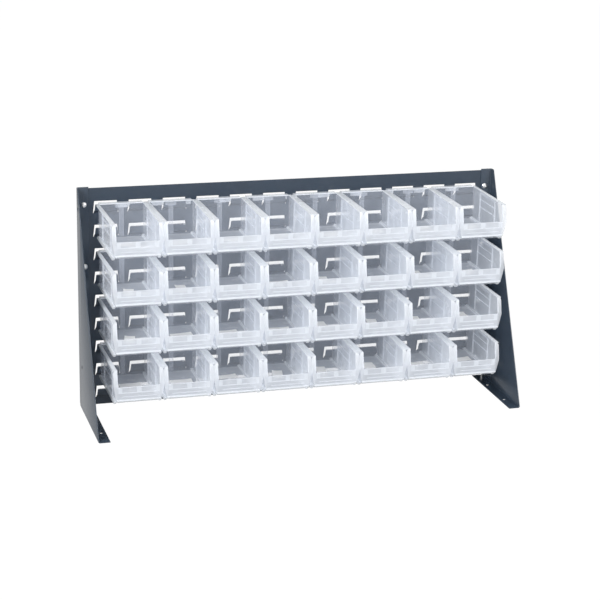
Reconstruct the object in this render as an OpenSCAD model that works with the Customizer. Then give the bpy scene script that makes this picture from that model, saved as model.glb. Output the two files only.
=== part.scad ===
// Bench bin rack: a louvered steel panel bolted to two bent sheet legs, with clear bins hung on it.
// Millimetres, +Z up, the front faces -Y, and the rack stands on Z = 0 with its box centred on the origin.

/* [Legs] */
// Width over the outer faces of the two legs
rack_w = 921; // [900:1:1000]
// Depth of a leg from the front of its rear flange to its toe
leg_d = 226; // [210:1:260]
// Depth of a leg's side plate at its top
leg_top_d = 11.5; // [8:0.5:60]
// Sheet thickness of the legs
leg_t = 2; // [1.5:0.1:3]
// Inside radius of the bends in the legs
bend_r = 2; // [1:0.5:4]
// Width of the rear flange that the panel bolts to
flange_w = 25.4; // [24:0.2:32]
// Width of the foot flange that stands on the bench
foot_w = 25.4; // [24:0.2:40]
// Height of a leg above the top edge of the panel
leg_rise = 3; // [0:0.5:10]
// Relief cut where the two bends of a leg meet
corner_relief = 8; // [7.5:0.5:15]

/* [Leg holes] */
// Diameter of the foot holes for bench bolts
foot_hole_d = 7; // [5:0.1:9]
// Foot hole distance from the outer face of the leg
foot_hole_inset = 15.5; // [13:0.1:18]
// Rear foot hole distance ahead of the rear flange
foot_hole_rear = 74; // [20:1:95]
// Front foot hole distance ahead of the rear flange
foot_hole_front = 172; // [120:1:200]
// Diameter of the holes in the left leg's side plate
side_hole_d = 8; // [4:0.1:9]
// Upper side hole distance ahead of the rear flange
side_hole_top_out = 16; // [11:0.5:20]
// Upper side hole distance below the top of the leg
side_hole_top_drop = 43; // [42:1:80]
// Lower side hole distance ahead of the rear flange
side_hole_low_out = 38; // [15:1:120]
// Lower side hole height above the bench
side_hole_low_z = 100; // [20:1:180]

/* [Panel] */
// Sheet thickness of the panel
panel_t = 1.5; // [1:0.1:2]
// Distance of the panel's side edges inside the outer faces of the legs
panel_inset = 1.5; // [0:0.5:8]
// Height of the panel's bottom edge above the bench
panel_lift = 0.5; // [0.5:0.5:10]
// Plain band of sheet above the first row of louvers
top_band = 32.8; // [20:0.2:60]
// Plain band of sheet below the last row of louvers
bottom_band = 16; // [10:0.2:60]

/* [Louvers] */
// Number of louver rows
louver_rows = 9; // [8:1:12]
// Height from one louver row to the next
louver_pitch_z = 50.8; // [46:0.1:60]
// Distance from one louver column to the next
louver_pitch_x = 72.6; // [60:0.1:75]
// Least plain sheet between a leg's flange and the first louver
louver_margin = 6; // [4:0.5:10]
// Height of a louver tab above its root
tab_h = 21; // [18:0.5:26]
// Distance that a louver tab stands out from the sheet
tab_reach = 7.5; // [6:0.5:10]
// Height over which a louver tab slopes out before it stands upright
tab_slope_h = 7; // [5:0.5:9]
// Width of a louver tab at its top edge
tab_top_w = 45.2; // [36:0.2:50]
// Width of a louver tab at its root
tab_root_w = 51; // [50:0.2:58]
// Size of the cut corners at the top of a louver tab
tab_corner = 2; // [0.5:0.5:5]
// Width of the lance cut beside and above a louver tab
lance_gap = 1.2; // [0.3:0.1:2]

/* [Panel fasteners] */
// Number of bolts in each leg
bolt_count = 4; // [2:1:6]
// Bolt distance from the outer face of the leg
bolt_inset = 15.5; // [13:0.1:16.5]
// Uppermost bolt distance below the top of the leg
bolt_top_drop = 38.5; // [20:0.5:80]
// Lowest bolt height above the bench
bolt_low_z = 43; // [25:1:100]
// Diameter of the bolt shank
bolt_d = 6; // [4:0.5:7]
// Clearance on the diameter of the bolt holes
bolt_hole_clear = 1; // [0.4:0.1:2]
// Clearance on the diameter between a nut's bore and its bolt
thread_clear = 0.2; // [0.1:0.05:0.4]
// Length of bolt that stands out of the nut
bolt_tip = 1.9; // [0.5:0.1:6]
// Diameter of the domed bolt head
head_d = 12.4; // [10:0.2:14]
// Height of the domed bolt head
head_h = 3.4; // [2.5:0.1:5]
// Width of the cross recess in the bolt head
recess_w = 1.6; // [0.8:0.1:2.5]
// Length of the cross recess in the bolt head
recess_l = 6.4; // [4:0.2:8]
// Depth of the cross recess in the bolt head
recess_depth = 1.6; // [0.5:0.1:2]
// Outside diameter of the washer
washer_d = 14; // [10:0.5:16]
// Thickness of the washer
washer_t = 1.6; // [0.8:0.1:2.5]
// Width across the flats of the nut
nut_flats = 10; // [8:0.5:13]
// Height of the nut
nut_h = 5; // [3:0.5:7]

/* [Bins] */
// Number of bin rows
bin_rows = 4; // [1:1:4]
// Louver rows from one bin row to the next
bin_row_step = 2; // [2:1:2]
// Sideways place of the bin rows from the middle of the rack
bins_shift = -2.5; // [-12:0.5:12]
// Width of a bin over its rim
bin_w = 104.6; // [90:0.2:108]
// Gap between neighbouring bins
bin_gap = 0.4; // [0.3:0.1:2]
// Least gap between a leg and the first bin
bin_leg_gap = 10; // [5:1:20]
// Height of a bin from its runners to its rim
bin_h = 77; // [70:0.5:84]
// Length of a bin from its back wall to its front lip
bin_l = 182.5; // [140:0.5:188]
// Height of the top of the front lip above the runners
lip_h = 41; // [30:0.5:55]
// Thickness of the bin walls and floor
bin_wall = 2; // [1.5:0.1:2.5]
// Gap between a louver tab and the back wall of the bin
back_gap = 9.5; // [6:0.5:14]
// Distance that the rim stands outside the side wall at the back
rim_back_w = 4.1; // [3:0.1:6]
// Distance that the front flange stands outside the side wall
front_flange_w = 6.6; // [4:0.1:9]
// Distance that the front flange narrows on each side below the lip
flange_taper = 5.4; // [1:0.1:6]
// Thickness of the rim and the front flange
rim_t = 2.2; // [1.5:0.1:3]
// Size of the cut corner where the rim meets the front flange
rim_corner = 4; // [1:0.5:6]
// Distance that the top front corner leans back from the lip
nose_rake = 6.5; // [2:0.5:15]
// Distance that the foot of the front face leans back from the lip
chin_rake = 2.5; // [1:0.5:8]
// Height of the foot of the front face above the runners
chin_h = 10.5; // [8:0.5:16]
// Distance of the floor's front end behind the lip
toe_back = 16; // [10:0.5:24]
// Height of the runners under the bin
runner_h = 4; // [3:0.5:6]
// Width of a runner
runner_w = 5.5; // [4:0.5:8]
// Distance of a runner inside the widest part of the bin
runner_inset = 2.6; // [1:0.1:4]

/* [Bin hook] */
// Width of the hook along the back of the bin
hook_w = 92; // [60:1:95]
// Thickness of the hook's lip
hook_t = 2; // [1.2:0.1:2.5]
// Depth of the hook's lip below the louver's top edge
hook_drop = 10; // [6:0.5:12]
// Clearance between the hook and the louver
hook_clear = 0.4; // [0.3:0.05:0.6]
// Clearance between the runner's heel and the louver tab behind it
heel_clear = 0.8; // [0.6:0.1:2]

/* [Hidden] */
$fn = 48;
over = 1;

// Heights of the panel, the legs and the louvers
louver_field_h = (louver_rows - 1) * louver_pitch_z + tab_h;
panel_h = top_band + louver_field_h + bottom_band;
panel_top = panel_lift + panel_h;
leg_h = panel_top + leg_rise;
tab_top_z = panel_top - top_band;

// Front to back places, with the whole box centred on Y = 0
bolt_reach = leg_t + panel_t + washer_t + nut_h + bolt_tip;
flange_y = (leg_d - bolt_reach) / 2;
flange_back_y = flange_y + leg_t;
panel_back_y = flange_back_y + panel_t;

// Sideways places
panel_w = rack_w - 2 * panel_inset;
leg_x = -rack_w / 2;
bend_out_r = bend_r + leg_t;

// As many louver columns as fit between the legs' flanges
louver_room = rack_w - 2 * (flange_w + louver_margin) - tab_root_w;
louver_cols = 1 + floor(louver_room / louver_pitch_x);

// Bolt places
bolt_x = rack_w / 2 - bolt_inset;
bolt_pitch = (leg_h - bolt_top_drop - bolt_low_z) / (bolt_count - 1);

// Louver tab: its sloped foot, the sheet measured level there, and the flat length that it was lanced from
tab_slope = tab_reach / tab_slope_h;
tab_t_level = panel_t / cos(atan(tab_slope));
tab_back_z = (tab_t_level - panel_t) / tab_slope;
tab_back_bend_z = (tab_reach - panel_t + tab_t_level) / tab_slope;
window_h = norm([tab_reach, tab_slope_h]) + tab_h - tab_slope_h;

// Bin heights, measured from the top edge of the louver that carries the bin
rim_z = hook_clear + rim_t;
bin_z = rim_z - bin_h;
floor_z = bin_z + runner_h - over;
lip_z = bin_z + lip_h;
chin_z = bin_z + chin_h;

// Bin places ahead of the panel
back_q = tab_reach + back_gap;
lip_q = back_q + bin_l;
nose_q = lip_q - nose_rake;
chin_q = lip_q - chin_rake;
toe_q = lip_q - toe_back;
bin_half = bin_w / 2;
bin_pitch = bin_w + bin_gap;

// As many bins in a row as fit between the legs
bin_room = rack_w - 2 * (leg_t + bin_leg_gap + abs(bins_shift));
bin_cols = floor(bin_room / bin_pitch);

// The heel stops short of the louver tab that lies behind it, and passes it when the bin is lifted
heel_q = tab_reach + heel_clear;

steel_blue = [0.20, 0.24, 0.30];
zinc = [0.80, 0.81, 0.82];
clear_milk = [0.90, 0.92, 0.97, 0.6];

function bin_name(row, col) = str("bin_row", row, "_col", col);
function louver_z(row) = tab_top_z - (row - 1) * louver_pitch_z;
function louver_x(col) = (col - (louver_cols + 1) / 2) * louver_pitch_x;
function bin_x(col) = bins_shift + (col - (bin_cols + 1) / 2) * bin_pitch;

// Outline with its points as [distance ahead of the panel, height], drawn out sideways
module side_prism(points, width) {
    rotate([90, 0, 90])
        linear_extrude(width, center = true)
            polygon([for (p = points) [-p[0], p[1]]]);
}

// Outline with its points as [sideways, height], drawn out forwards from the plane it is in
module front_prism(points, depth) {
    rotate([90, 0, 0])
        linear_extrude(depth)
            polygon(points);
}

// Outline with its points as [sideways, distance ahead of the panel], drawn out upwards
module plan_prism(points, height) {
    linear_extrude(height)
        polygon([for (p = points) [p[0], -p[1]]]);
}

// Places of the bolts, with the forward direction of a child along -Y
module at_bolts() {
    for (side = [-1, 1])
        for (i = [0 : bolt_count - 1])
            translate([side * bolt_x, 0, bolt_low_z + i * bolt_pitch])
                children();
}

module tab_outline(grow, height, corner) {
    root = tab_root_w / 2 + grow;
    top = tab_top_w / 2 + grow;
    polygon([[-root, 0], [root, 0], [top, height - corner], [top - corner, height],
             [corner - top, height], [-top, height - corner]]);
}

module at_louvers() {
    for (row = [1 : louver_rows])
        for (col = [1 : louver_cols])
            translate([louver_x(col), louver_z(row) - tab_h])
                children();
}

module panel_sheet() {
    translate([0, panel_back_y, 0])
        rotate([90, 0, 0])
            linear_extrude(panel_t)
                difference() {
                    translate([-panel_w / 2, panel_lift])
                        square([panel_w, panel_h]);
                    at_louvers() tab_outline(lance_gap, window_h + lance_gap, tab_corner);
                    for (side = [-1, 1])
                        for (i = [0 : bolt_count - 1])
                            translate([side * bolt_x, bolt_low_z + i * bolt_pitch])
                                circle(d = bolt_d + bolt_hole_clear);
                }
}

module louver_tabs() {
    intersection() {
        union()
            for (row = [1 : louver_rows])
                translate([0, flange_back_y, louver_z(row) - tab_h])
                    side_prism([[0, 0], [tab_reach, tab_slope_h], [tab_reach, tab_h],
                                [tab_reach - panel_t, tab_h], [tab_reach - panel_t, tab_back_bend_z],
                                [-panel_t, tab_back_z], [-panel_t, 0]], panel_w);
        translate([0, panel_back_y, 0])
            rotate([90, 0, 0])
                linear_extrude(panel_t + tab_reach)
                    at_louvers() tab_outline(0, tab_h, tab_corner);
    }
}

module louvered_panel() {
    color(steel_blue)
        union() {
            panel_sheet();
            louver_tabs();
        }
}

// Section of a bent edge: two straight runs along the axes and the round bend between them
module bend_section(run_x, run_y) {
    translate([bend_out_r, bend_out_r])
        intersection() {
            difference() {
                circle(bend_out_r);
                circle(bend_r);
            }
            translate([-bend_out_r, -bend_out_r])
                square(bend_out_r);
        }
    translate([bend_out_r, 0])
        square([run_x - bend_out_r, leg_t]);
    translate([0, bend_out_r])
        square([leg_t, run_y - bend_out_r]);
}

module leg_sheet() {
    outline = [[-leg_t, 0], [leg_d, 0], [leg_top_d, leg_h], [-leg_t, leg_h]];
    intersection() {
        union() {
            translate([leg_x, flange_back_y, corner_relief])
                mirror([0, 1, 0])
                    linear_extrude(leg_h - corner_relief)
                        bend_section(flange_w, leg_d + leg_t);
            translate([leg_x, flange_back_y - corner_relief, 0])
                rotate([90, 0, 0])
                    linear_extrude(leg_d + leg_t - corner_relief)
                        bend_section(foot_w, leg_h);
        }
        translate([leg_x, flange_y, 0])
            side_prism(outline, 2 * max(flange_w, foot_w) + over);
    }
}

module leg() {
    difference() {
        leg_sheet();
        translate([0, flange_back_y + over, 0])
            at_bolts()
                rotate([90, 0, 0])
                    cylinder(d = bolt_d + bolt_hole_clear, h = leg_t + 2 * over);
        for (ahead = [foot_hole_rear, foot_hole_front])
            translate([leg_x + foot_hole_inset, flange_y - ahead, -over])
                cylinder(d = foot_hole_d, h = leg_t + 2 * over);
    }
}

module side_holes() {
    for (hole = [[side_hole_top_out, leg_h - side_hole_top_drop], [side_hole_low_out, side_hole_low_z]])
        translate([leg_x - over, flange_y - hole[0], hole[1]])
            rotate([0, 90, 0])
                cylinder(d = side_hole_d, h = leg_t + 2 * over);
}

module left_leg() {
    color(steel_blue)
        difference() {
            leg();
            side_holes();
        }
}

module right_leg() {
    color(steel_blue) mirror([1, 0, 0]) leg();
}

// One bolt with its head forwards, from the plane that its head bears on
module panel_bolt() {
    dome_r = (pow(head_d / 2, 2) + pow(head_h, 2)) / (2 * head_h);
    rotate([90, 0, 0]) {
        difference() {
            intersection() {
                cylinder(d = head_d, h = head_h);
                translate([0, 0, head_h - dome_r])
                    sphere(dome_r);
            }
            for (turn = [0, 90])
                rotate([0, 0, turn])
                    translate([-recess_l / 2, -recess_w / 2, head_h - recess_depth])
                        cube([recess_l, recess_w, recess_depth + over]);
        }
        translate([0, 0, -bolt_reach])
            cylinder(d = bolt_d, h = bolt_reach);
    }
}

module panel_bolts() {
    color(zinc)
        translate([0, flange_y, 0])
            at_bolts() panel_bolt();
}

module washers() {
    color(zinc)
        translate([0, panel_back_y, 0])
            at_bolts()
                rotate([-90, 0, 0])
                    difference() {
                        cylinder(d = washer_d, h = washer_t);
                        translate([0, 0, -over])
                            cylinder(d = bolt_d + bolt_hole_clear, h = washer_t + 2 * over);
                    }
}

module nuts() {
    color(zinc)
        translate([0, panel_back_y + washer_t, 0])
            at_bolts()
                rotate([-90, 0, 0])
                    difference() {
                        cylinder(d = nut_flats / cos(30), h = nut_h, $fn = 6);
                        translate([0, 0, -over])
                            cylinder(d = bolt_d + thread_clear, h = nut_h + 2 * over);
                    }
}

// Half width of the side walls at the back and the front, inset by a given thickness
module wall_plan(inset, front_q) {
    back = bin_half - rim_back_w - inset;
    front = bin_half - front_flange_w - inset;
    back_edge = back_q + inset;
    plan_prism([[-back, back_edge], [back, back_edge], [front, front_q], [-front, front_q]], bin_h + over);
}

module bin_shell() {
    outline = [[back_q, floor_z], [toe_q, floor_z], [chin_q, chin_z], [lip_q, lip_z], [nose_q, rim_z],
               [back_q, rim_z]];
    intersection() {
        side_prism(outline, bin_w);
        translate([0, 0, bin_z]) wall_plan(0, lip_q);
    }
}

module bin_cavity() {
    inner_floor = floor_z + bin_wall;
    front = lip_q + over;
    outline = [[back_q + bin_wall, inner_floor], [toe_q - bin_wall / 2, inner_floor],
               [chin_q - bin_wall, chin_z + bin_wall / 2], [lip_q - bin_wall, lip_z], [front, lip_z],
               [front, rim_z + over], [back_q + bin_wall, rim_z + over]];
    intersection() {
        side_prism(outline, bin_w);
        translate([0, 0, bin_z]) wall_plan(bin_wall, front);
    }
}

module bin_rim() {
    edge = nose_q - rim_corner;
    translate([0, 0, rim_z - rim_t])
        plan_prism([[-bin_half, back_q], [bin_half, back_q], [bin_half, edge],
                    [bin_half - rim_corner, nose_q], [rim_corner - bin_half, nose_q],
                    [-bin_half, edge]], rim_t);
}

module bin_front_flange() {
    chin_half = bin_half - flange_taper;
    corner_half = bin_half - rim_corner;
    corner_z = rim_z - rim_corner;
    band = [[chin_q, chin_z], [lip_q, lip_z], [nose_q, rim_z], [nose_q - rim_t, rim_z],
            [lip_q - rim_t, lip_z], [chin_q - rim_t, chin_z]];
    face = [[-chin_half, chin_z], [chin_half, chin_z], [bin_half, lip_z], [bin_half, corner_z],
            [corner_half, rim_z], [-corner_half, rim_z], [-bin_half, corner_z], [-bin_half, lip_z]];
    intersection() {
        side_prism(band, bin_w);
        front_prism(face, lip_q + over);
    }
}

// Hook over the louver's top edge, with a lip that hangs behind the upright part of the tab
module bin_hook() {
    front_q = tab_reach - panel_t - hook_clear;
    rear_q = front_q - hook_t;
    ledge_q = back_q + bin_wall;
    low_z = max(-hook_drop, tab_back_bend_z - tab_h + hook_clear);
    side_prism([[front_q, low_z], [front_q, hook_clear], [ledge_q, hook_clear], [ledge_q, rim_z],
                [rear_q, rim_z], [rear_q, low_z]], hook_w);
}

module bin_runners() {
    for (side = [-1, 1])
        translate([side * (bin_half - runner_inset - runner_w / 2), 0, 0])
            side_prism([[heel_q, bin_z], [toe_q - runner_h, bin_z], [toe_q, bin_z + runner_h],
                        [heel_q, bin_z + runner_h]], runner_w);
}

module hanging_bin(row, col) {
    color(clear_milk)
        translate([bin_x(col), flange_back_y, louver_z(1 + (row - 1) * bin_row_step)])
            difference() {
                union() {
                    bin_shell();
                    bin_rim();
                    bin_front_flange();
                    bin_hook();
                    bin_runners();
                }
                bin_cavity();
            }
}

louvered_panel();
left_leg();
right_leg();
panel_bolts();
washers();
nuts();
for (row = [1 : bin_rows])
    for (col = [1 : bin_cols])
        hanging_bin(row, col);
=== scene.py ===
import math

import bmesh
import bpy
from mathutils import Matrix, Vector


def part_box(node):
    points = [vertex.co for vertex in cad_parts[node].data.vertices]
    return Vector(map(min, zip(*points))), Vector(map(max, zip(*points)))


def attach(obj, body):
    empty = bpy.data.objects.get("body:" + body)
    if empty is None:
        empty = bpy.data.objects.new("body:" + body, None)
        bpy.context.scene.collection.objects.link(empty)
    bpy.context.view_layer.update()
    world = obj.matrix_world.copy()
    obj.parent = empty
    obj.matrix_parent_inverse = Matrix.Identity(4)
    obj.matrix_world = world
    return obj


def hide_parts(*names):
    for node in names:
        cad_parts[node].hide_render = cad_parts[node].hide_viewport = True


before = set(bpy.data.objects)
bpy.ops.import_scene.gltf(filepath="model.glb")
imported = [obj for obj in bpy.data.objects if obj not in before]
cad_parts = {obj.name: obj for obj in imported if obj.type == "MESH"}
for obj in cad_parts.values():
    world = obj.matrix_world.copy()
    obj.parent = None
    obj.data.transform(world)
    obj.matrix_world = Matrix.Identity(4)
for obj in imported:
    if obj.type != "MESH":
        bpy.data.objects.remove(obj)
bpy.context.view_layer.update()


# The louvered panel is one steel sheet that a press has lanced, so that rows of tabs stand forward out of
# it to carry the bins. It is powder coated dark blue grey, and its two side edges bolt to the legs.
MM = 0.001
panel_low, panel_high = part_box("louvered_panel")
sheet_thickness = 1.5 * MM
panel_front = panel_high.y - sheet_thickness
louver_rows = 9
louver_columns = 12
louver_pitch_x = 72.6 * MM
louver_pitch_z = 50.8 * MM
top_band = 32.8 * MM
first_tab_top = panel_high.z - top_band
tab_height = 21 * MM
tab_slope_height = 7 * MM
tab_reach = panel_front - panel_low.y
tab_half_top = 22.6 * MM
tab_half_root = 25.5 * MM
tab_corner = 2 * MM
tab_bend = math.radians(60)
tab_bend_radius = 3 * MM
lance_gap = 1.2 * MM
coat_edge = 0.3 * MM
window_margin = 8 * MM
rub_and_highlight_depth = 1.5 * MM
near = MM / 100
window_height = math.hypot(tab_reach, tab_slope_height) + tab_height - tab_slope_height + lance_gap


class Wire:
    """A shader socket that takes part in plain Python sums."""

    def __init__(self, finish, socket):
        self.finish = finish
        self.socket = socket

    def sum(self, operation, first, second):
        return self.finish.node("ShaderNodeMath", {"operation": operation}, {0: first, 1: second})

    def __add__(self, other):
        return self.sum("ADD", self, other)

    def __sub__(self, other):
        return self.sum("SUBTRACT", self, other)

    def __rsub__(self, other):
        return self.sum("SUBTRACT", other, self)

    def __mul__(self, other):
        return self.sum("MULTIPLY", self, other)

    __radd__ = __add__
    __rmul__ = __mul__


class Finish:
    """The node tree of one material, or of the world."""

    def __init__(self, owner):
        self.owner = owner
        owner.use_nodes = True
        self.tree = owner.node_tree
        self.tree.nodes.clear()

    def node(self, kind, settings, sockets, output=0):
        made = self.tree.nodes.new(kind)
        for name, value in settings.items():
            setattr(made, name, value)
        for name, value in sockets.items():
            if isinstance(value, Wire):
                self.tree.links.new(value.socket, made.inputs[name])
            else:
                made.inputs[name].default_value = value
        return Wire(self, made.outputs[output]) if made.outputs else None

    def coordinates(self):
        return self.node("ShaderNodeTexCoord", {}, {}, "Object")

    def noise(self, scale, detail, roughness=0.5):
        return self.node("ShaderNodeTexNoise", {}, {
            "Vector": self.coordinates(), "Scale": scale, "Detail": detail, "Roughness": roughness})

    def blend(self, factor, first, second):
        return self.node("ShaderNodeMix", {"data_type": "RGBA"}, {0: factor, 6: first, 7: second}, 2)

    def ramp(self, value, low, high):
        return self.node("ShaderNodeMapRange", {"interpolation_type": "SMOOTHSTEP"},
                         {"Value": value, "From Min": low, "From Max": high})

    def bump(self, height, strength, distance):
        return self.node("ShaderNodeBump", {}, {"Height": height, "Strength": strength, "Distance": distance})

    def surface(self, shader):
        self.node("ShaderNodeOutputMaterial", {}, {"Surface": shader})
        return self.owner


def powder_coat():
    deep_paint = (0.037, 0.054, 0.079, 1)
    pale_paint = (0.052, 0.072, 0.101, 1)
    bare_steel_and_highlight = (0.42, 0.43, 0.44, 1)
    coat = Finish(bpy.data.materials.new("powder_coat"))
    cloud = coat.noise(9, 3)
    peel = coat.noise(700, 2)
    grit = coat.noise(260, 4, 0.7)
    # Along the tab tops the coat shows bare steel in speckles: partly paint rubbed off where the bins' hooks
    # rest, partly a painted highlight on the tab tops.
    rub_and_highlight = coat.node("ShaderNodeAttribute", {"attribute_name": "rub_and_highlight"}, {}, "Fac")
    bare_and_highlight = coat.ramp(rub_and_highlight * grit, 0.36, 0.48)
    colour = coat.blend(cloud, deep_paint, pale_paint)
    return coat.surface(coat.node("ShaderNodeBsdfPrincipled", {}, {
        "Base Color": coat.blend(bare_and_highlight, colour, bare_steel_and_highlight),
        "Metallic": 0.9 * bare_and_highlight,
        "Roughness": 0.18 + 0.10 * cloud + 0.1 * bare_and_highlight,
        "Specular IOR Level": 0.4,
        "Normal": coat.bump(peel, 0.10, 0.15 * MM),
    }))


def face_front(bm):
    """Turns an open sheet's faces towards the front of the rack."""
    bmesh.ops.recalc_face_normals(bm, faces=bm.faces[:])
    if sum(face.normal.y * face.calc_area() for face in bm.faces) > 0:
        bmesh.ops.reverse_faces(bm, faces=bm.faces[:])


def soften(bm, edges, width, segments=1, sharp=40):
    """Rounds off those of the edges at which the surface turns sharply."""
    turned = [edge for edge in edges if edge.is_manifold and edge.calc_face_angle() > math.radians(sharp)]
    bmesh.ops.bevel(bm, geom=turned, offset=width, offset_type="OFFSET", segments=segments, profile=0.5,
                    affect="EDGES", material=-1, clamp_overlap=True)


def finished_mesh(bm, name, finish):
    crease = math.radians(32)
    mesh = bpy.data.meshes.new(name)
    bm.to_mesh(mesh)
    bm.free()
    mesh.materials.append(finish)
    mesh.shade_smooth()
    mesh.set_sharp_from_angle(angle=crease)
    return mesh


def fitted_piece(name, mesh, body, node):
    piece = bpy.data.objects.new(name, mesh)
    bpy.context.scene.collection.objects.link(piece)
    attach(piece, body)
    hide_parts(node)


def pressed_sheet():
    """The flat sheet's front face with its windows cut out, and the sill of each window."""
    bm = bmesh.new()
    last_root = first_tab_top - tab_height - (louver_rows - 1) * louver_pitch_z
    field_middle = last_root + (window_height + (louver_rows - 1) * louver_pitch_z) / 2
    upright = (Matrix.Translation((0, panel_front, field_middle)) @ Matrix.Rotation(math.radians(90), 4, "X")
               @ Matrix.Diagonal((louver_columns * louver_pitch_x, louver_rows * louver_pitch_z, 1, 1)))
    bmesh.ops.create_grid(bm, x_segments=louver_columns, y_segments=louver_rows, size=0.5, matrix=upright)
    windows = bm.faces[:]
    for axis in (0, 2):
        for pick, limit in ((min, panel_low[axis]), (max, panel_high[axis])):
            outermost = pick(vert.co[axis] for vert in bm.verts)
            rim = [edge for edge in bm.edges
                   if all(abs(vert.co[axis] - outermost) < MM / 10 for vert in edge.verts)]
            band = bmesh.ops.extrude_edge_only(bm, edges=rim)
            for vert in band["geom"]:
                if isinstance(vert, bmesh.types.BMVert):
                    vert.co[axis] = limit
    bmesh.ops.inset_individual(bm, faces=windows, thickness=window_margin, use_even_offset=True)
    sills = []
    for window in windows:
        middle = window.calc_center_median()
        for vert in window.verts:
            above = vert.co.z > middle.z
            half = (tab_half_top if above else tab_half_root) + lance_gap
            vert.co.x = middle.x + math.copysign(half, vert.co.x - middle.x)
            vert.co.z = middle.z + math.copysign(window_height / 2, vert.co.z - middle.z)
        sills.append(min(window.edges, key=lambda edge: sum(vert.co.z for vert in edge.verts)))
    bmesh.ops.delete(bm, geom=windows, context="FACES_ONLY")
    return bm, sills


def tab_profile():
    """A tab's front face from its sill to its top, as distances out and up: bent out, then upright again."""
    turns = [tab_bend * step / 3 for step in (1, 2, 3)]
    profile = [(tab_bend_radius * (1 - math.cos(turn)), tab_bend_radius * math.sin(turn)) for turn in turns]
    slope = (tab_reach - 2 * profile[-1][0]) / math.sin(tab_bend)
    knee = profile[-1][1] + slope * math.cos(tab_bend) + tab_bend_radius * math.sin(tab_bend)
    profile += [(tab_reach - out, knee - up) for out, up in reversed(profile)]
    return [*profile, (tab_reach, knee), (tab_reach, tab_height)]


def raise_tabs(bm, sills):
    """Draws one tab out of the sill of each window, narrower towards its top."""
    cut = bmesh.ops.subdivide_edges(bm, edges=sills, cuts=2)["geom_inner"]
    ends = {part for part in cut if isinstance(part, bmesh.types.BMVert)}
    tops = []
    for edge in [edge for edge in bm.edges if set(edge.verts) <= ends]:
        middle = (edge.verts[0].co + edge.verts[1].co) / 2
        for vert in edge.verts:
            vert.co.x = middle.x + math.copysign(tab_half_root, vert.co.x - middle.x)
        for out, up in tab_profile():
            half = tab_half_root + (tab_half_top - tab_half_root) * up / tab_height
            drawn = bmesh.ops.extrude_edge_only(bm, edges=[edge])["geom"]
            tops = [part for part in drawn if isinstance(part, bmesh.types.BMVert)]
            for vert in tops:
                aside = math.copysign(half, vert.co.x - middle.x)
                vert.co = (middle.x + aside, panel_front - out, middle.z + up)
            edge = bm.edges.get(tops)
        bmesh.ops.bevel(bm, geom=tops, offset=tab_corner, offset_type="OFFSET", segments=3, profile=0.5,
                        affect="VERTICES", material=-1)


panel_mesh, window_sills = pressed_sheet()
raise_tabs(panel_mesh, window_sills)
face_front(panel_mesh)
bmesh.ops.solidify(panel_mesh, geom=panel_mesh.faces[:], thickness=sheet_thickness)
soften(panel_mesh, panel_mesh.edges[:], coat_edge, sharp=60)
# Marks a strip along the top edge of every tab, where the hooks rub the coat and where a painted highlight
# goes.
rub_and_highlight_mark = panel_mesh.verts.layers.float.new("rub_and_highlight")
for vert in panel_mesh.verts:
    below_top = (first_tab_top + coat_edge - vert.co.z) % louver_pitch_z
    on_tab = vert.co.y < panel_front - sheet_thickness
    vert[rub_and_highlight_mark] = 1.0 if on_tab and below_top < rub_and_highlight_depth else 0.0
coat_finish = powder_coat()
fitted_piece("panel_sheet", finished_mesh(panel_mesh, "panel_sheet", coat_finish), "rack",
             "louvered_panel")


# The two legs are mirror images, each one steel plate with a rear flange for the panel and a foot flange
# for the bench, both bent inwards in a brake. They have the panel's powder coat, and the left one has two
# holes in its side.
leg_low, leg_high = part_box("left_leg")
leg_thickness = 2 * MM
leg_bend = 4 * MM
leg_top_depth = 13.5 * MM
leg_relief = 8 * MM
leg_edge = 0.5 * MM
side_holes = ((leg_high.y - 18 * MM, leg_high.z - 43 * MM), (leg_high.y - 40 * MM, 100 * MM))
side_hole_radius = 4 * MM
foot_hole_x = leg_low.x + 15.5 * MM
foot_holes = (leg_high.y - 76 * MM, leg_high.y - 174 * MM)
foot_hole_radius = 3.5 * MM
hole_segments = 24
bend_steps = 4


def pierce(bm, faces, centre, normal, radius):
    """Punches a round hole through the flat faces given, inside a small square that it cuts out first."""
    half = 1.6 * radius
    axes = [Vector(axis) for axis in ((1, 0, 0), (0, 1, 0), (0, 0, 1))]
    flat = [axis for axis in axes if abs(axis.dot(normal)) < 0.5]
    for axis in flat:
        for side in (-half, half):
            geometry = {part for face in faces for part in (face, *face.edges, *face.verts)}
            cut = bmesh.ops.bisect_plane(bm, geom=list(geometry), plane_co=centre + axis * side,
                                         plane_no=axis)
            faces = list({part for part in cut["geom"] if isinstance(part, bmesh.types.BMFace)})
    square = min(faces, key=lambda face: (face.calc_center_median() - centre).length)
    rim = square.edges[:]
    bmesh.ops.delete(bm, geom=[square], context="FACES_ONLY")
    turn = normal.to_track_quat("Z", "Y").to_matrix().to_4x4()
    ring = bmesh.ops.create_circle(bm, segments=hole_segments, radius=radius,
                                   matrix=Matrix.Translation(centre) @ turn)
    bmesh.ops.bridge_loops(bm, edges=rim + list({edge for vert in ring["verts"] for edge in vert.link_edges}))
    return [face for face in faces if face.is_valid]


def bent_flange(bm, line, centre, axis, angle, reach):
    """Bends a quarter turn up from the edges along a line, then draws the flange out to its width."""
    edges = [edge for edge in bm.edges if all(line(vert.co) for vert in edge.verts)]
    ends = {vert for edge in edges for vert in edge.verts}
    bend = bmesh.ops.spin(bm, geom=[*edges, *ends], cent=centre, axis=axis, angle=angle, steps=bend_steps,
                          use_merge=False)
    last = [part for part in bend["geom_last"] if isinstance(part, bmesh.types.BMEdge)]
    flange = bmesh.ops.extrude_edge_only(bm, edges=last)["geom"]
    tips = [part for part in flange if isinstance(part, bmesh.types.BMVert)]
    bmesh.ops.translate(bm, verts=tips, vec=reach)
    return [part for part in flange if isinstance(part, bmesh.types.BMFace)]


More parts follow.
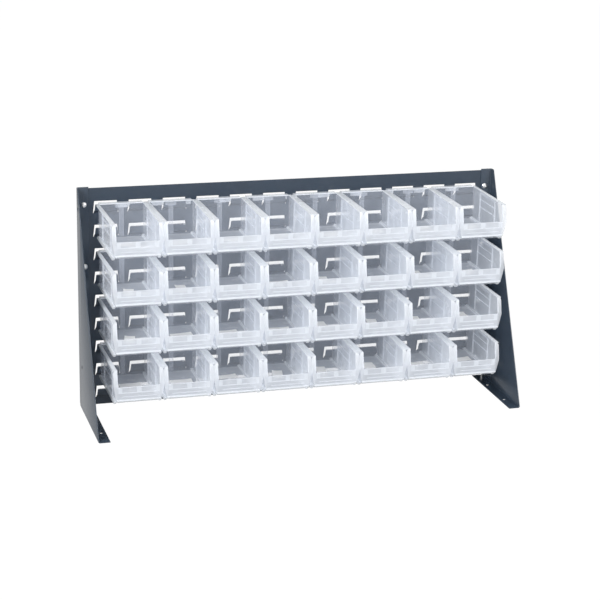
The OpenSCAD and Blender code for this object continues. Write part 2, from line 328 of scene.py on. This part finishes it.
def folded_leg(holes):
    """A leg on the left, from its outer faces: the side plate with its holes, the flange and the foot."""
    bm = bmesh.new()
    x, toe, back, top = leg_low.x, leg_low.y, leg_high.y, leg_high.z
    top_front = back - leg_top_depth
    toe_run = (top_front - toe) * leg_bend / top
    relief_y = back - leg_relief
    outline = ((toe + toe_run, leg_bend), (relief_y, leg_bend), (relief_y, leg_relief),
               (back - leg_bend, leg_relief), (back - leg_bend, top), (top_front, top))
    plates = [bm.faces.new([bm.verts.new((x, y, z)) for y, z in outline])]
    for y, z in holes:
        plates = pierce(bm, plates, Vector((x, y, z)), Vector((-1, 0, 0)), side_hole_radius)
    width = Vector((leg_high.x - leg_low.x - leg_bend, 0, 0))
    quarter = math.radians(-90)
    bent_flange(bm, lambda co: abs(co.y - back + leg_bend) < near, (x + leg_bend, back - leg_bend, 0),
                (0, 0, 1), quarter, width)
    foot = bent_flange(bm, lambda co: abs(co.z - leg_bend) < near, (x + leg_bend, 0, leg_bend),
                       (0, 1, 0), quarter, width)
    for vert in bm.verts:
        if vert.co.y < toe + toe_run + near:
            vert.co.y = toe + toe_run * vert.co.z / leg_bend
    for y in foot_holes:
        foot = pierce(bm, foot, Vector((foot_hole_x, y, 0)), Vector((0, 0, -1)), foot_hole_radius)
    bmesh.ops.remove_doubles(bm, verts=bm.verts[:], dist=near)
    bmesh.ops.recalc_face_normals(bm, faces=bm.faces[:])
    if sum(face.normal.x * face.calc_area() for face in bm.faces) > 0:
        bmesh.ops.reverse_faces(bm, faces=bm.faces[:])
    bmesh.ops.solidify(bm, geom=bm.faces[:], thickness=leg_thickness)
    soften(bm, bm.edges[:], leg_edge, segments=2, sharp=60)
    return bm


left_fold = folded_leg(side_holes)
right_fold = folded_leg(())
bmesh.ops.scale(right_fold, verts=right_fold.verts[:], vec=(-1, 1, 1))
bmesh.ops.reverse_faces(right_fold, faces=right_fold.faces[:])
fitted_piece("left_leg_plate", finished_mesh(left_fold, "left_leg_plate", coat_finish), "rack",
             "left_leg")
fitted_piece("right_leg_plate", finished_mesh(right_fold, "right_leg_plate", coat_finish), "rack",
             "right_leg")


# Dome-head bolts, flat washers and hex nuts hold the panel to the legs' flanges. They are small turned and
# pressed steel pieces with a bright zinc plate.
def zinc_plate():
    dull_zinc = (0.70, 0.71, 0.72, 1)
    bright_zinc = (0.90, 0.90, 0.89, 1)
    zinc = Finish(bpy.data.materials.new("zinc_plate"))
    spangle = zinc.noise(420, 3)
    stain = zinc.noise(90, 2)
    return zinc.surface(zinc.node("ShaderNodeBsdfPrincipled", {}, {
        "Base Color": zinc.blend(spangle, dull_zinc, bright_zinc),
        "Metallic": 1.0,
        "Roughness": 0.20 + 0.16 * stain,
        "Normal": zinc.bump(spangle, 0.12, 0.1 * MM),
    }))


zinc_finish = zinc_plate()
for name in ("panel_bolts", "washers", "nuts"):
    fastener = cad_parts[name]
    fastener.data.materials.clear()
    fastener.data.materials.append(zinc_finish)


# The bins are injection moulded in clear, slightly milky polypropylene. Each is a thin tub with a stiffening
# rim and front flange, a hook that drops behind the louver tabs, and two runners under its floor.
bin_rows = 4
bin_columns = 8
bin_half = 52.3 * MM
rim_top = 2.6 * MM
bin_bottom = -74.4 * MM
bin_wall = 2 * MM
floor_under = bin_bottom + 3 * MM
lip_top = bin_bottom + 41 * MM
chin_height = bin_bottom + 10.5 * MM
back_ahead = 17 * MM
lip_ahead = 199.5 * MM
nose_ahead = lip_ahead - 6.5 * MM
chin_ahead = lip_ahead - 2.5 * MM
toe_ahead = lip_ahead - 16 * MM
wall_half_back = bin_half - 4.1 * MM
wall_half_front = bin_half - 6.6 * MM
chin_half = bin_half - 5.4 * MM
flange_thickness = 2.2 * MM
hook_half = 46 * MM
tub_round = 5 * MM
tiny = 0.25 * MM
line_width = 1.6 * MM
line_round = 0.3 * MM
thin_milk = 0.02
# The side walls and floor are milkier than the back wall, and the side walls grow milkier towards the front:
# partly the plastic's own milkiness, partly painted haze and painted light.
side_milk_and_painted_haze_back = 0.18
side_painted_light_gain = 0.15
floor_milk_and_painted_light = 0.24
front_milk = 0.27
post_milk = 0.48
front_line_milk = 0.34
chin_milk = 0.6
rim_milk = 0.5
rim_bead_milk = 0.6
side_rib_milk = 0.23
foot_line_milk = 0.36
back_rib_milk = 0.10
hook_milk = 0.3
runner_milk = 0.45
side_turn = math.atan2(wall_half_back - wall_half_front, lip_ahead - back_ahead)


def ahead(x, distance, height):
    """A point of a bin: sideways, distance ahead of the panel, height above the tab that carries it."""
    return Vector((x, -distance, height))


def wall_half(distance):
    """Half the width over the side walls, which draw in towards the front."""
    share = (distance - back_ahead) / (lip_ahead - back_ahead)
    return wall_half_back + (wall_half_front - wall_half_back) * share


def fresh(bm, milk_and_painted_light):
    """What was added since the last moulding was given its milkiness."""
    return [vert for vert in bm.verts if vert[milk_and_painted_light] == 0]


def moulded(bm, milk_and_painted_light, milkiness, edge_round, segments=2):
    """Rounds the edges of the newest moulding and says how milky the plastic is there."""
    verts = set(fresh(bm, milk_and_painted_light))
    soften(bm, list({edge for vert in verts for edge in vert.link_edges}), edge_round, segments)
    for vert in fresh(bm, milk_and_painted_light):
        vert[milk_and_painted_light] = milkiness


def block(bm, outline, along):
    """A closed block: an outline drawn out along a vector."""
    face = bm.faces.new([bm.verts.new(point) for point in outline])
    drawn = bmesh.ops.extrude_face_region(bm, geom=[face])["geom"]
    far = [part for part in drawn if isinstance(part, bmesh.types.BMVert)]
    bmesh.ops.translate(bm, verts=far, vec=along)
    verts = far + face.verts[:]
    bmesh.ops.recalc_face_normals(bm, faces=list({side for vert in verts for side in vert.link_faces}))
    return verts


def rib(bm, centre, size, turn=0.0):
    """A plain bar, sized across, along and up, and turned about the upright axis."""
    place = Matrix.Translation(centre) @ Matrix.Rotation(turn, 4, "Z") @ Matrix.Diagonal((*size, 1))
    bmesh.ops.create_cube(bm, size=1, matrix=place)


def mould_tub(bm, milk_and_painted_light):
    """The thin walls and floor, drawn in towards the front, with round edges below and behind."""
    inside = flange_thickness / 2
    outline = ((back_ahead, floor_under), (toe_ahead, floor_under), (chin_ahead - inside, chin_height),
               (lip_ahead - inside, lip_top), (nose_ahead - inside, rim_top - inside),
               (back_ahead, rim_top - inside))
    verts = block(bm, [ahead(-bin_half, q, h) for q, h in outline], Vector((2 * bin_half, 0, 0)))
    for vert in verts:
        vert.co.x = math.copysign(wall_half(-vert.co.y), vert.co.x)
    faces = {face for vert in verts for face in vert.link_faces}
    open_faces = [face for face in faces if face.normal.z > 0.9 or face.normal.y < -0.9]
    bmesh.ops.delete(bm, geom=open_faces, context="FACES")
    soften(bm, list({edge for vert in fresh(bm, milk_and_painted_light) for edge in vert.link_edges}), tub_round, segments=3)
    shell = list({face for vert in fresh(bm, milk_and_painted_light) for face in vert.link_faces})
    bmesh.ops.solidify(bm, geom=shell, thickness=bin_wall)
    moulded(bm, milk_and_painted_light, thin_milk, line_round, 1)
    # Side walls get milkier and whiter towards the open front, and the floor milkier than the back wall:
    # partly real milkiness, partly painted haze where they are seen edge-on and painted light on the floor
    # and towards the front.
    for vert in bm.verts:
        distance = -vert.co.y
        in_tub = vert[milk_and_painted_light] < 2 * thin_milk
        if in_tub and abs(vert.co.x) > wall_half(distance) - bin_wall - tiny:
            vert[milk_and_painted_light] = side_milk_and_painted_haze_back + side_painted_light_gain * (distance - back_ahead) / (lip_ahead - back_ahead)
        elif in_tub and vert.co.z < floor_under + bin_wall + tiny:
            vert[milk_and_painted_light] = floor_milk_and_painted_light


def mould_front(bm, milk_and_painted_light):
    """The front wall and the posts beside the opening, one flange that leans back from the lip both ways."""
    rise = math.hypot(nose_ahead - lip_ahead, rim_top - lip_top) - tiny
    drop = math.hypot(chin_ahead - lip_ahead, chin_height - lip_top)
    lip = Vector((0, -lip_ahead, lip_top))
    post = bin_half - 0.05 * MM
    post_corner = 7 * MM
    inner = wall_half_front - bin_wall - tiny
    outline = [(-chin_half, -drop), (chin_half, -drop), (post, 0), (post, rise), (inner, rise), (inner, 0),
               (-inner, 0), (-inner, rise), (-post, rise), (-post, 0)]
    corners = [bm.verts.new(lip + Vector((x, 0, z))) for x, z in outline]
    bm.faces.new(corners)
    bmesh.ops.bevel(bm, geom=[corners[3], corners[8]], offset=post_corner, offset_type="OFFSET", segments=4,
                    profile=0.5, affect="VERTICES", material=-1)
    face = next(face for vert in fresh(bm, milk_and_painted_light) for face in vert.link_faces)
    drawn = bmesh.ops.extrude_face_region(bm, geom=[face])["geom"]
    bmesh.ops.translate(bm, verts=[part for part in drawn if isinstance(part, bmesh.types.BMVert)],
                        vec=(0, flange_thickness, 0))
    plate = {part for vert in fresh(bm, milk_and_painted_light) for part in (vert, *vert.link_edges, *vert.link_faces)}
    bmesh.ops.bisect_plane(bm, geom=list(plate), plane_co=lip, plane_no=(0, 0, 1))
    shell = list({face for vert in fresh(bm, milk_and_painted_light) for face in vert.link_faces})
    bmesh.ops.recalc_face_normals(bm, faces=shell)
    moulded(bm, milk_and_painted_light, front_milk, 0.5 * MM)
    for vert in bm.verts:
        if vert.co.z > lip.z + tiny:
            vert[milk_and_painted_light] = post_milk
    proud = 0.9 * MM
    pad_height = 11 * MM
    pad_drop = 6 * MM
    pad_aside = 39 * MM
    for x, width in ((0, 10 * MM), (-pad_aside, 8 * MM), (pad_aside, 8 * MM)):
        rib(bm, lip + Vector((x, 0, -pad_drop)), (width, 2 * proud, pad_height))
    front_lines = ((-12.4 * MM, 1.8 * MM, 43 * MM), (-21 * MM, 1.2 * MM, 36 * MM),
                   (0.2 * MM, 1.6 * MM, 43 * MM))
    for z, height, half in front_lines:
        rib(bm, lip + Vector((0, 0, z)), (2 * half, 2 * proud, height))
    bead_aside = inner + 1.4 * MM
    for x in (-bead_aside, bead_aside):
        rib(bm, lip + Vector((x, 0, rise / 2)), (line_width, 2 * proud, rise - 9 * MM))
    moulded(bm, milk_and_painted_light, front_line_milk, line_round, 1)
    chin_bar = (2 * chin_half - 2 * MM, 4.2 * MM, 3.6 * MM)
    rib(bm, lip + Vector((0, 0.6 * MM, 1.6 * MM - drop)), chin_bar)
    moulded(bm, milk_and_painted_light, chin_milk, 0.9 * MM)
    posts = [vert for vert in bm.verts if vert.co.z > lip.z + tiny]
    wall = [vert for vert in bm.verts if vert.co.z < lip.z - tiny]
    post_lean = -math.asin((lip_ahead - nose_ahead) / rise)
    wall_lean = math.asin((lip_ahead - chin_ahead) / drop)
    for part, lean in ((posts, post_lean), (wall, wall_lean)):
        bmesh.ops.rotate(bm, verts=part, cent=lip, matrix=Matrix.Rotation(lean, 3, "X"))


def mould_rim(bm, milk_and_painted_light):
    """The flat rim along the back and sides, with a bead down each outer edge."""
    inner_back = wall_half_back - bin_wall - tiny
    inner_front = wall_half_front - bin_wall - tiny
    behind = back_ahead + bin_wall + tiny
    front = nose_ahead - tiny
    outline = ((-bin_half, back_ahead), (bin_half, back_ahead), (bin_half, front), (inner_front, front),
               (inner_back, behind), (-inner_back, behind), (-inner_front, front), (-bin_half, front))
    thickness = flange_thickness - tiny
    block(bm, [ahead(x, q, rim_top - thickness) for x, q in outline], Vector((0, 0, thickness)))
    moulded(bm, milk_and_painted_light, rim_milk, 0.8 * MM)
    middle = (back_ahead + front) / 2
    bead = (line_width, front - back_ahead - 8 * MM, 3 * MM)
    for side in (-1, 1):
        rib(bm, ahead(side * (bin_half - 0.9 * MM), middle, -0.4 * MM), bead)
    moulded(bm, milk_and_painted_light, rim_bead_milk, 0.4 * MM, 1)


def mould_side_ribs(bm, milk_and_painted_light):
    """Raised frames on the side walls, a line along the foot of each, and the ribs up the back wall."""
    rear, fore = 62 * MM, 149 * MM
    middle = (rear + fore) / 2
    rib_height = 62 * MM
    rib_depth = 3.4 * MM
    for side in (-1, 1):
        turn = side * -side_turn
        for q in (rear, fore):
            rib(bm, ahead(side * (wall_half(q) - bin_wall / 2), q, -34 * MM),
                (rib_depth, line_width, rib_height), turn)
        for h in (-3 * MM, -17 * MM, -33.5 * MM):
            rib(bm, ahead(side * (wall_half(middle) - bin_wall / 2), middle, h),
                (rib_depth, fore - rear, line_width), turn)
    moulded(bm, milk_and_painted_light, side_rib_milk, line_round, 1)
    rear, fore = back_ahead + 4 * MM, toe_ahead
    middle = (rear + fore) / 2
    for side in (-1, 1):
        rib(bm, ahead(side * (wall_half(middle) - bin_wall - 3 * MM), middle, floor_under + bin_wall),
            (line_width, fore - rear, line_width), side * -side_turn)
    moulded(bm, milk_and_painted_light, foot_line_milk, line_round, 1)
    back_face = back_ahead + bin_wall
    back_middle = -37 * MM
    back_rib_aside = 4.3 * MM
    for x in (-back_rib_aside, back_rib_aside):
        rib(bm, ahead(x, back_face, back_middle), (1.4 * MM, 2 * MM, rib_height))
    rib(bm, ahead(0, back_face, -3.5 * MM), (24 * MM, 1.6 * MM, 7 * MM))
    moulded(bm, milk_and_painted_light, back_rib_milk, line_round, 1)
    rib(bm, ahead(0, back_face, back_middle), (7.2 * MM, 1.2 * MM, rib_height))
    moulded(bm, milk_and_painted_light, thin_milk, 0.2 * MM, 1)


def mould_hook(bm, milk_and_painted_light):
    """The hook lies over the tabs' top edges, and its lip hangs behind them."""
    drop = 10 * MM
    gap = 0.4 * MM
    hook_thickness = 2 * MM
    front = tab_reach - sheet_thickness - gap
    rear = front - hook_thickness
    ledge = back_ahead + bin_wall
    over = rim_top - tiny
    outline = ((front, -drop), (front, gap), (ledge, gap), (ledge, over), (rear, over), (rear, -drop))
    block(bm, [ahead(-hook_half, q, h) for q, h in outline], Vector((2 * hook_half, 0, 0)))
    moulded(bm, milk_and_painted_light, hook_milk, 0.4 * MM)


def mould_runners(bm, milk_and_painted_light):
    """Two runners under the floor, each with a heel that reaches back towards the panel."""
    heel = tab_reach + 0.8 * MM
    top = bin_bottom + 8 * MM
    nose = toe_ahead - 4 * MM
    runner_width = 5.5 * MM
    runner_inset = 2.6 * MM
    outline = ((heel, bin_bottom), (nose, bin_bottom), (toe_ahead + 3 * MM, bin_bottom + 6 * MM),
               (toe_ahead, top), (back_ahead, top), (heel, bin_bottom + 4 * MM))
    for side in (-1, 1):
        outer = side * (bin_half - runner_inset)
        block(bm, [ahead(outer, q, h) for q, h in outline], Vector((-side * runner_width, 0, 0)))
    moulded(bm, milk_and_painted_light, runner_milk, 0.7 * MM)


def polypropylene():
    thin_tint = (0.74, 0.78, 0.86, 1)
    milky_and_painted_light_tint = (0.88, 0.91, 0.95, 1)
    lamp_pass = 0.82
    plastic = Finish(bpy.data.materials.new("clear_polypropylene"))
    milk_and_painted_light = plastic.node("ShaderNodeAttribute", {"attribute_name": "milk_and_painted_light"}, {}, "Fac")
    flow = plastic.noise(38, 3)
    grain = plastic.noise(900, 2)
    # The pale tint and the opacity follow the milkiness marked on the mesh, which on the side walls and floor
    # also carries painted haze and painted light.
    milk_and_painted_light_share = plastic.ramp(milk_and_painted_light, 0.0, 0.5)
    lit_through = plastic.node("ShaderNodeLightPath", {}, {}, "Is Shadow Ray")
    return plastic.surface(plastic.node("ShaderNodeBsdfPrincipled", {}, {
        "Base Color": plastic.blend(milk_and_painted_light_share, thin_tint, milky_and_painted_light_tint),
        "Roughness": 0.20 + 0.12 * flow,
        "IOR": 1.49,
        "Alpha": (0.10 + 0.07 * flow + milk_and_painted_light) * (1 - lamp_pass * lit_through),
        "Normal": plastic.bump(grain, 0.05, 0.1 * MM),
    }))


bin_bm = bmesh.new()
milk_and_painted_light_layer = bin_bm.verts.layers.float.new("milk_and_painted_light")
mould_front(bin_bm, milk_and_painted_light_layer)
mould_tub(bin_bm, milk_and_painted_light_layer)
mould_rim(bin_bm, milk_and_painted_light_layer)
mould_side_ribs(bin_bm, milk_and_painted_light_layer)
mould_hook(bin_bm, milk_and_painted_light_layer)
mould_runners(bin_bm, milk_and_painted_light_layer)
bin_mould = finished_mesh(bin_bm, "bin_mould", polypropylene())
for row in range(1, bin_rows + 1):
    tab_top = first_tab_top - 2 * (row - 1) * louver_pitch_z
    for column in range(1, bin_columns + 1):
        node = f"bin_row{row}_col{column}"
        node_low, node_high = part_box(node)
        hung = bin_mould.copy()
        hung.name = f"{node}_tub"
        hung.transform(Matrix.Translation(((node_low.x + node_high.x) / 2, panel_front, tab_top)))
        fitted_piece(f"{node}_tub", hung, node, node)


# The blank label on each bin's floor is a slip of white paper with a sticky back. It is pressed on by hand,
# so no two lie quite alike, some lie lengthways, and one corner has come up a little.
label_width = 47 * MM
label_depth = 22 * MM
label_thickness = 0.15 * MM
label_ahead = 86 * MM
label_aside = 5 * MM
label_lift = 1.2 * MM
label_corner = 1.4 * MM
curl_start = 0.55
curl_share = 0.45
label_stray = 4 * MM
label_creep = 5 * MM
label_skew = math.radians(5)
label_turn = math.radians(82)
label_glue = 0.05 * MM
lengthways = {2: (1, 2, 5, 7), 3: (1, 5, 6, 7, 8), 4: (4, 5, 6)}


def label_paper():
    fresh_paper = (0.93, 0.93, 0.92, 1)
    aged_paper = (0.88, 0.87, 0.85, 1)
    paper = Finish(bpy.data.materials.new("label_paper"))
    fibre = paper.noise(1500, 3)
    age = paper.noise(60, 2)
    return paper.surface(paper.node("ShaderNodeBsdfPrincipled", {}, {
        "Base Color": paper.blend(age, fresh_paper, aged_paper),
        "Roughness": 0.62 + 0.2 * fibre,
        "Normal": paper.bump(fibre, 0.15, 0.05 * MM),
    }))


def blank_label():
    """A slip with round corners, whose far right corner curls up."""
    bm = bmesh.new()
    slip = Matrix.Translation((0, 0, label_thickness)) @ Matrix.Diagonal((label_width, label_depth, 1, 1))
    bmesh.ops.create_grid(bm, x_segments=16, y_segments=8, size=0.5, matrix=slip)
    for vert in bm.verts:
        curl = max(0.0, vert.co.x / label_width + vert.co.y / label_depth - curl_start) / curl_share
        vert.co.z += label_lift * curl * curl
    corners = [vert for vert in bm.verts if len(vert.link_edges) == 2]
    bmesh.ops.bevel(bm, geom=corners, offset=label_corner, offset_type="OFFSET", segments=3, profile=0.5,
                    affect="VERTICES", material=-1)
    bmesh.ops.solidify(bm, geom=bm.faces[:], thickness=label_thickness)
    return bm


label_mould = finished_mesh(blank_label(), "label", label_paper())
for row in range(1, bin_rows + 1):
    floor_top = first_tab_top - 2 * (row - 1) * louver_pitch_z + floor_under + bin_wall
    for column in range(1, bin_columns + 1):
        node = f"bin_row{row}_col{column}"
        node_low, node_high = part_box(node)
        astray = math.sin(7 * row + 3 * column)
        askew = math.sin(5 * row - 4 * column)
        turned = column in lengthways.get(row, ())
        place = Vector(((node_low.x + node_high.x) / 2 + label_aside + label_stray * astray,
                        panel_front - label_ahead + label_creep * askew, floor_top + label_glue))
        spin = Matrix.Rotation(label_skew * askew + label_turn * turned, 4, "Z")
        pressed = label_mould.copy()
        pressed.name = f"{node}_label"
        pressed.transform(Matrix.Translation(place) @ spin)
        label = bpy.data.objects.new(f"{node}_label", pressed)
        bpy.context.scene.collection.objects.link(label)
        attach(label, node)


# The stage is a plain white floor that runs out to a white surround. A large soft lamp stands far to the
# left, a smaller one in front, and a weak one above on the right.
def floor_paper():
    white_level = 1.06
    seen_share = 0.94
    mirrored_share = 0.45
    paper = Finish(bpy.data.materials.new("floor_paper"))
    path = paper.node("ShaderNodeLightPath", {}, {}, "Is Camera Ray")
    mirrored = Wire(paper, path.socket.node.outputs["Is Glossy Ray"])
    through = Wire(paper, path.socket.node.outputs["Is Transmission Ray"])
    matt = paper.node("ShaderNodeBsdfDiffuse", {}, {"Color": (0.7, 0.7, 0.7, 1)})
    white = paper.node("ShaderNodeEmission", {}, {"Color": (1, 1, 1, 1), "Strength": white_level})
    seen = seen_share * (path + through) + mirrored_share * mirrored
    return paper.surface(paper.node("ShaderNodeMixShader", {}, {0: seen, 1: matt, 2: white}))


floor_reach = 30
floor_mesh = bmesh.new()
bmesh.ops.create_grid(floor_mesh, x_segments=1, y_segments=1, size=floor_reach)
floor_data = bpy.data.meshes.new("floor")
floor_mesh.to_mesh(floor_data)
floor_mesh.free()
floor_data.materials.append(floor_paper())
floor = bpy.data.objects.new("floor", floor_data)
bpy.context.scene.collection.objects.link(floor)

world = bpy.data.worlds.new("surround")
bpy.context.scene.world = world
sky = Finish(world)
rays = sky.node("ShaderNodeLightPath", {}, {}, "Is Camera Ray")
sky_glossy = Wire(sky, rays.socket.node.outputs["Is Glossy Ray"])
sky_through = Wire(sky, rays.socket.node.outputs["Is Transmission Ray"])
ambient = 0.19
surround = 1.01
sky_light = ambient + (surround - ambient) * (rays + sky_glossy + sky_through)
backdrop = sky.node("ShaderNodeBackground", {}, {"Color": (1, 1, 1, 1), "Strength": sky_light})
sky.node("ShaderNodeOutputWorld", {}, {"Surface": backdrop})


def soft_lamp(name, place, size, watts):
    """A round lamp that shines at the middle of the rack."""
    aim = Vector((0, 0, 0.25))
    lamp = bpy.data.lights.new(name, "AREA")
    lamp.shape = "DISK"
    lamp.size = size
    lamp.energy = watts
    holder = bpy.data.objects.new(name, lamp)
    holder.location = place
    holder.rotation_euler = (aim - Vector(place)).to_track_quat("-Z", "Y").to_euler()
    bpy.context.scene.collection.objects.link(holder)


soft_lamp("key_lamp", (-3.9, -2.4, 2.9), 2.1, 180)
soft_lamp("top_lamp", (1.8, -1.6, 2.4), 1.2, 14)
soft_lamp("front_lamp", (1.2, -2.9, 2.0), 1.2, 43)


# The camera stands to the left and above, where the photograph was taken, with a long lens.
picture_width = 600
focal_pixels = 1797.3
camera_place = (-1.0347, -3.4900, 1.3439)
camera_yaw = math.radians(-16.426)
camera_tilt = math.radians(90 - 16.889)
camera_roll = math.radians(1.172)
camera_data = bpy.data.cameras.new("camera")
camera_data.sensor_width = 36
camera_data.lens = focal_pixels / picture_width * camera_data.sensor_width
camera = bpy.data.objects.new("camera", camera_data)
camera.matrix_world = (Matrix.Translation(camera_place) @ Matrix.Rotation(camera_yaw, 4, "Z")
                       @ Matrix.Rotation(camera_tilt, 4, "X") @ Matrix.Rotation(camera_roll, 4, "Z"))
bpy.context.scene.collection.objects.link(camera)
bpy.context.scene.camera = camera
bpy.context.scene.view_settings.view_transform = "Standard"
bpy.context.scene.cycles.transparent_max_bounces = 24
